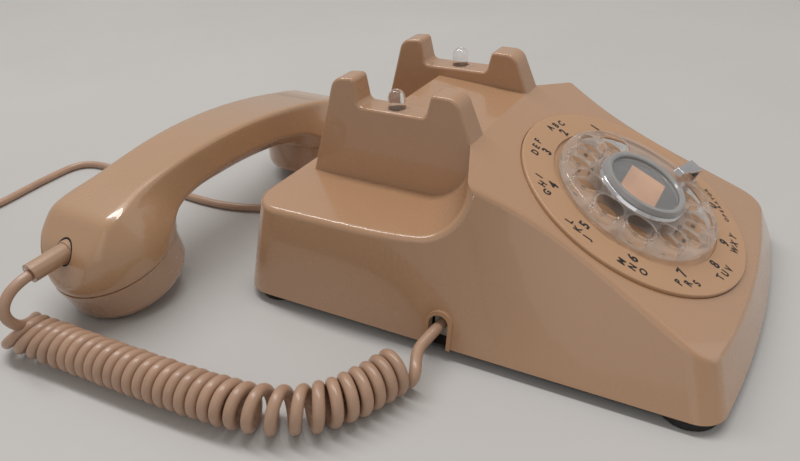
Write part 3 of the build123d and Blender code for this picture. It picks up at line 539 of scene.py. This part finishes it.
# along the handle: x, lower edge of the sides, belly; half widths at the top, the lower edge and the belly
HANDLE = ((-97, 37, 29, 17.0, 18.5, 14), (-82, 36, 27, 17.2, 21.5, 17), (-64, 37, 27, 17.2, 23.5, 18),
          (-52, 42, 36, 17.4, 21.0, 14.5), (-38, 46.3, 40.4, 17.8, 19.6, 14),
          (-15, 48.3, 41.8, 18.3, 19.6, 14), (10, 47.6, 41.0, 18.8, 20.0, 14),
          (32, 45.0, 38.2, 19.0, 20.4, 14.5), (47, 41.0, 34.0, 19.0, 21.8, 15.5),
          (62, 34, 24, 19.0, 24.0, 18), (80, 33, 24, 18.4, 22.5, 17), (95, 32, 24, 17.0, 19.0, 14))
BOOT_X, BOOT_Z, BOOT_R = -104.0, 39.0, 5.1
PIVOT = {-1: (-44.0, 35.4), 1: (43.5, 30.6)}      # the hollows under the handle, where its sections fan round
FAN_STEPS, HANDLE_STEPS, ROUND_STEPS = 46, 44, 120


def eased(table, column):
    """Smooth curve through one column of a table, as fine x and y arrays."""
    xs = np.array([row[0] for row in table], float)
    ys = np.array([row[column] for row in table], float)
    slopes = np.gradient(ys, xs)
    fine = np.linspace(xs[0], xs[-1], 600)
    i = np.clip(np.searchsorted(xs, fine, side="right") - 1, 0, len(xs) - 2)
    h = xs[i + 1] - xs[i]
    t = (fine - xs[i]) / h
    values = ((2 * t ** 3 - 3 * t ** 2 + 1) * ys[i] + (t ** 3 - 2 * t ** 2 + t) * h * slopes[i]
              + (3 * t ** 2 - 2 * t ** 3) * ys[i + 1] + (t ** 3 - t ** 2) * h * slopes[i + 1])
    return fine, values


TOP_CURVE = eased(TOP_LINE, 1)
BELL_CURVE = eased(BELL, 1)
HANDLE_CURVES = [eased(HANDLE, column) for column in range(1, 6)]


def soft_min(a, b, k):
    h = np.maximum(k - np.abs(a - b), 0.0) / k
    return np.minimum(a, b) - h ** 3 * k / 6


def soft_max(a, b, k):
    return -soft_min(-a, -b, k)


def top_gap(x, z):
    """How far a point stands above the crowned top and the sloping ends."""
    tilt = (np.interp(x + 1, *TOP_CURVE) - np.interp(x - 1, *TOP_CURVE)) / 2
    gap = (z - np.interp(x, *TOP_CURVE)) / np.sqrt(1 + tilt ** 2)
    for (x0, z0), (x1, z1) in END_LINES:
        length = math.hypot(x1 - x0, z1 - z0)
        beyond = (-(z1 - z0) * (x - x0) + (x1 - x0) * (z - z0)) / length
        gap = soft_max(gap, beyond, 2.5)
    return gap


def bell_gap(side, x, y, z):
    lean = side * math.radians(CAP_TILT[side])
    dx, dz = x - CAP_X[side], z - CAP_FACE_R * math.sin(abs(lean))
    u = dx * math.cos(lean) - dz * math.sin(lean)
    height = np.clip(dx * math.sin(lean) + dz * math.cos(lean) - CAP_H[side], 0.0, 36.9)
    tilt = np.interp(height + 0.5, *BELL_CURVE) - np.interp(height - 0.5, *BELL_CURVE)
    return (np.hypot(u, y) - np.interp(height, *BELL_CURVE)) / np.sqrt(1 + tilt ** 2)


def handle_gap(x, y, z):
    """Handle: flared sides down to a sharp lower edge, and a rounded belly below it."""
    low, belly, w_top, w_low, w_belly = (np.interp(x, *curve) for curve in HANDLE_CURVES)
    top = np.interp(x, *TOP_CURVE)
    flare = (w_low - w_top) / (top - low)
    side = (np.abs(y) - (w_low + (low - z) * flare)) / np.sqrt(1 + flare ** 2)
    tuck = (w_low - w_belly) / (low - belly)
    under = (np.abs(y) - (w_low + (z - low) * tuck)) / np.sqrt(1 + tuck ** 2)
    gap = soft_max(soft_max(side, under, 1.0), belly - z, 4.0)
    return soft_max(gap, np.maximum(-97 - x, x - 95), 4.0)


def shell_gap(x, y, z):
    bells = np.minimum(bell_gap(-1, x, y, z), bell_gap(1, x, y, z))
    return soft_max(soft_min(bells, handle_gap(x, y, z), 12.0), top_gap(x, z), 3.6)


def seam_frame(side, rise=0.0):
    """Centre of a cap's seam and the directions along its plane and its axis, in the XZ plane."""
    lean = side * math.radians(CAP_TILT[side])
    along = Vector((math.cos(lean), -math.sin(lean)))
    axis = Vector((math.sin(lean), math.cos(lean)))
    centre = Vector((CAP_X[side], CAP_FACE_R * math.sin(abs(lean)))) + axis * (CAP_H[side] + rise)
    return centre, along, axis


def section_planes():
    """Start point and outward direction, in the XZ plane, of each section from one seam to the other."""
    planes = []
    for side in (-1, 1):
        pivot = Vector(PIVOT[side])
        centre, along, axis = seam_frame(side, 0.35)
        low = math.atan2(centre.y - pivot.y, centre.x - pivot.x) % (2 * math.pi)
        if side > 0 and low > math.pi:
            low -= 2 * math.pi
        fan = []
        for i in range(FAN_STEPS + 1):
            angle = low + (math.pi / 2 - low) * i / FAN_STEPS
            fan.append((pivot, Vector((math.cos(angle), math.sin(angle)))))
        planes.append(fan)
    x0, x1 = PIVOT[-1][0], PIVOT[1][0]
    z0, z1 = PIVOT[-1][1], PIVOT[1][1]
    middle = [(Vector((x0 + (x1 - x0) * i / HANDLE_STEPS, z0 + (z1 - z0) * i / HANDLE_STEPS)), Vector((0, 1)))
              for i in range(1, HANDLE_STEPS)]
    return planes[0] + middle + planes[1][::-1]


def surface_points():
    """Rings of points where rays from the middle of each section leave the shell."""
    planes = section_planes()
    reach = np.linspace(0.0, 95.0, 380)
    starts, ways = [], []
    for pivot, way in planes:
        gap = shell_gap(pivot.x + way.x * reach, np.zeros_like(reach), pivot.y + way.y * reach)
        inside = reach[gap < 0]
        middle = (inside[0] + inside[-1]) / 2
        starts.append((pivot.x + way.x * middle, pivot.y + way.y * middle))
        ways.append((way.x, way.y))
    turn = np.linspace(0, 2 * np.pi, ROUND_STEPS, endpoint=False)
    sx, sz = (np.array(starts)[:, k][:, None] for k in (0, 1))
    wx, wz = (np.array(ways)[:, k][:, None] for k in (0, 1))
    dx, dy, dz = wx * np.cos(turn), np.sin(turn)[None, :] + 0 * wx, wz * np.cos(turn)
    near, far = np.zeros_like(dx), np.full_like(dx, 75.0)
    for _ in range(24):
        half = (near + far) / 2
        out = shell_gap(sx + dx * half, dy * half, sz + dz * half) > 0
        far, near = np.where(out, half, far), np.where(out, near, half)
    return np.stack([sx + dx * near, dy * near, sz + dz * near], axis=-1)


def handset_shell():
    rings = list(surface_points())
    ends = []
    for side, first in ((-1, rings[0]), (1, rings[-1])):
        centre, along, axis = seam_frame(side)
        flat = np.array([centre.x, 0.0, centre.y])
        up = np.array([axis.x, 0.0, axis.y])
        loops = []
        for radius, rise in ((SEAM_R - 0.5, 0.05), (SEAM_HOLE_R, 0.05), (SEAM_HOLE_R, 5.0), (1.0, 5.0)):
            spoke = first - flat
            spoke = spoke - np.outer(spoke @ up, up)
            spoke = spoke / np.linalg.norm(spoke, axis=1)[:, None]
            loops.append(flat + up * rise + spoke * radius)
        ends.append(loops)
    rings = ends[0][::-1] + rings + ends[1]
    bm = bmesh.new()
    grid = [[bm.verts.new(tuple(c * MM for c in p)) for p in ring] for ring in rings]
    for a, b in zip(grid, grid[1:]):
        for k in range(ROUND_STEPS):
            n = (k + 1) % ROUND_STEPS
            bm.faces.new((a[k], a[n], b[n], b[k]))
    bm.faces.new(grid[0][::-1])
    bm.faces.new(grid[-1])
    bmesh.ops.recalc_face_normals(bm, faces=bm.faces)
    for face in bm.faces:
        face.smooth = len(face.verts) == 4
    mesh = bpy.data.meshes.new("handset_shell")
    bm.to_mesh(mesh)
    bm.free()
    mesh.transform(HANDSET)
    obj = add_object("handset_shell", mesh)
    dress(obj, PALETTE["handset_plastic"])
    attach(obj, "handset")
    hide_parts("handset_handle")


# width, lift off the shell and steps round of the ring painted dark as the shade round the cord boot
SHADE_RING_WIDTH, SHADE_RING_LIFT, SHADE_RING_STEPS = 0.75, 0.12, 48


def boot_painted_shade():
    """Painted shade: a dark ring in place of the shadow in the clearance round the cord boot, laid on the end
    of the shell.
    """
    x = np.linspace(BOOT_X - 20.0, BOOT_X + 18.0, 400)
    rings = []
    for radius in (BOOT_R, BOOT_R + SHADE_RING_WIDTH):
        ring = []
        for k in range(SHADE_RING_STEPS):
            a = 2 * math.pi * k / SHADE_RING_STEPS
            y, z = radius * math.cos(a), BOOT_Z + radius * math.sin(a)
            inside = shell_gap(x, np.full_like(x, y), np.full_like(x, z)) < 0
            ring.append((float(x[np.argmax(inside)]) - SHADE_RING_LIFT, y, z))
        rings.append(ring)
    bm = bmesh.new()
    inner, outer = ([bm.verts.new(tuple(c * MM for c in p)) for p in ring] for ring in rings)
    for k in range(SHADE_RING_STEPS):
        n = (k + 1) % SHADE_RING_STEPS
        bm.faces.new((inner[k], inner[n], outer[n], outer[k]))
    mesh = bpy.data.meshes.new("boot_painted_shade")
    bm.to_mesh(mesh)
    bm.free()
    mesh.transform(HANDSET)
    obj = add_object("boot_painted_shade", mesh)
    # painted shade: the near-black of this ring stands in for the shadow in the hole round the boot
    dress(obj, dull("painted_shade_black", linear(30, 22, 18), 0.8))
    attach(obj, "handset")


handset_shell()
boot_painted_shade()


# ---------------------------------------------------------------- printed dial face
SLOPE = math.radians(26.7)
DIAL_ORIGIN = Vector((0.0, -0.0525, 0.0504))
DIAL_MATRIX = Matrix.Translation(DIAL_ORIGIN) @ Matrix.Rotation(SLOPE, 4, "X")
INK = dull("ink_black", linear(26, 24, 24), 0.5, 1500, 0.1)
PRINT_LIFT = 0.00006
FACE = 0.0
RECESS = -1.2 * MM
FIRST_HOLE, HOLE_STEP, HOLE_CIRCLE = 45, 30, 29.2
DIGIT_R, LETTER_R, OPERATOR_R = 44.0, 49.4, 49.6
DIGIT_SIZE, LETTER_SIZE, OPERATOR_SIZE = 6.4, 4.8, 2.9
LETTER_STEP, OPERATOR_STEP = 5.6, 3.2      # degrees between letters
BOLDER, PRINT_T = 0.034, 0.00002           # growth of the strokes, as a share of the size, and ink thickness


def on_dial(radius, degrees, height=0.0):
    a = math.radians(degrees)
    return Vector((radius * MM * math.cos(a), radius * MM * math.sin(a), height))


def lettering(name, text, size, place, turn=0.0, stretch=1.0):
    """One printed character or word, as a flat mesh lying on the dial face."""
    data = bpy.data.curves.new(name, "FONT")
    data.body = text
    data.size = size * MM
    data.align_x = "CENTER"
    data.align_y = "CENTER"
    data.offset = BOLDER * size * MM
    data.extrude = PRINT_T
    data.resolution_u = 6
    flat = add_object(name, data)
    bpy.context.view_layer.update()
    mesh = bpy.data.meshes.new_from_object(flat)
    bpy.data.objects.remove(flat)
    bpy.data.curves.remove(data)
    mesh.transform(DIAL_MATRIX @ Matrix.Translation(place + Vector((0, 0, PRINT_LIFT)))
                   @ Matrix.Rotation(turn, 4, "Z") @ Matrix.Diagonal((stretch, 1, 1, 1)))
    return mesh


def joined(name, meshes, body, material):
    bm = bmesh.new()
    for mesh in meshes:
        bm.from_mesh(mesh)
        bpy.data.meshes.remove(mesh)
    data = bpy.data.meshes.new(name)
    bm.to_mesh(data)
    bm.free()
    obj = add_object(name, data)
    dress(obj, material)
    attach(obj, body)


# digits printed further out, or turned a little, than the even spacing: radius in mm and degrees
DIGIT_SHIFT = {"1": (2.0, 0.0), "9": (0.4, -4.0), "0": (1.8, -1.0)}


def dial_digits():
    meshes = []
    for i, digit in enumerate("1234567890"):
        out, turn = DIGIT_SHIFT.get(digit, (0.0, 0.0))
        place = on_dial(DIGIT_R + out, FIRST_HOLE + HOLE_STEP * i + turn, FACE)
        meshes.append(lettering("digit", digit, DIGIT_SIZE, place, stretch=0.95))
    return meshes


def dial_letters():
    meshes = []
    groups = ("ABC", "DEF", "GHI", "JKL", "MNO", "PRS", "TUV", "WXY")
    for i, group in enumerate(groups):
        for k, letter in enumerate(group):
            way = FIRST_HOLE + HOLE_STEP * (i + 1)
            way += (1 - k) * LETTER_STEP if way < 180 else (k - 1) * LETTER_STEP
            meshes.append(lettering("letter", letter, LETTER_SIZE, on_dial(LETTER_R, way, FACE),
                                    stretch=0.9))
    return meshes


def operator_word():
    meshes = []
    for k, letter in enumerate("OPERATOR"):
        degrees = FIRST_HOLE + 9 * HOLE_STEP + (k - 3.5) * OPERATOR_STEP
        meshes.append(lettering("operator", letter, OPERATOR_SIZE, on_dial(OPERATOR_R, degrees, FACE),
                                turn=math.radians(degrees + 90)))
    return meshes


def disc_mesh(place, radius, sides=24, lift=PRINT_LIFT):
    bm = bmesh.new()
    turns = [2 * math.pi * k / sides for k in range(sides)]
    bm.faces.new([bm.verts.new(place + Vector((radius * math.cos(a), radius * math.sin(a), lift)))
                  for a in turns])
    mesh = bpy.data.meshes.new("disc")
    bm.to_mesh(mesh)
    bm.free()
    mesh.transform(DIAL_MATRIX)
    return mesh


def hole_dots():
    return [disc_mesh(on_dial(HOLE_CIRCLE, FIRST_HOLE + HOLE_STEP * i, RECESS), 1.5 * MM) for i in range(10)]


joined("printed_characters", dial_digits() + dial_letters() + operator_word(), "base", INK)
joined("printed_dots", hole_dots(), "base", INK)


# ---------------------------------------------------------------- studio
def area_light(name, place, target, size, power, color=(1, 1, 1), size_y=None):
    """Area light facing a target, or straight down, with size_y along Y, when there is no target."""
    data = bpy.data.lights.new(name, "AREA")
    data.energy = power
    data.color = color
    data.size = size
    if size_y:
        data.shape = "RECTANGLE"
        data.size_y = size_y
    obj = add_object(name, data)
    obj.matrix_world = Matrix.Translation(place)
    if target:
        way = Vector(target) - Vector(place)
        obj.matrix_world @= way.to_track_quat("-Z", "Y").to_matrix().to_4x4()


def studio():
    bpy.ops.mesh.primitive_plane_add(size=12, location=(0, 0, 0))
    floor = bpy.context.object
    floor.name = "floor"
    m = Mat("floor_paper")
    m.base(m.ramp(m.noise(3, 4), linear(190, 188, 185), linear(194, 192, 189)))
    m.roughness(m.spread(m.noise(60, 3), 0.5, 0.6))
    dress(floor, m.mat)
    area_light("key", (0.15, 0.5, 1.5), None, 0.2, 16.5, (1, 0.99, 0.98), 2.0)
    area_light("fill", (0.9, -1.3, 0.9), (0, 0, 0.03), 1.2, 1.8, (0.98, 0.99, 1))
    area_light("front", (-1.3, -0.2, 0.8), (0, 0, 0.03), 1.2, 1.8)
    world = bpy.data.worlds.new("studio")
    world.use_nodes = True
    sky = next(n for n in world.node_tree.nodes if n.type == "BACKGROUND")
    sky.inputs["Color"].default_value = (1.0, 0.975, 0.95, 1)
    sky.inputs["Strength"].default_value = 0.4
    bpy.context.scene.world = world
    bpy.context.scene.view_settings.view_transform = "Standard"


studio()

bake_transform(curly)
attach(line, "base")
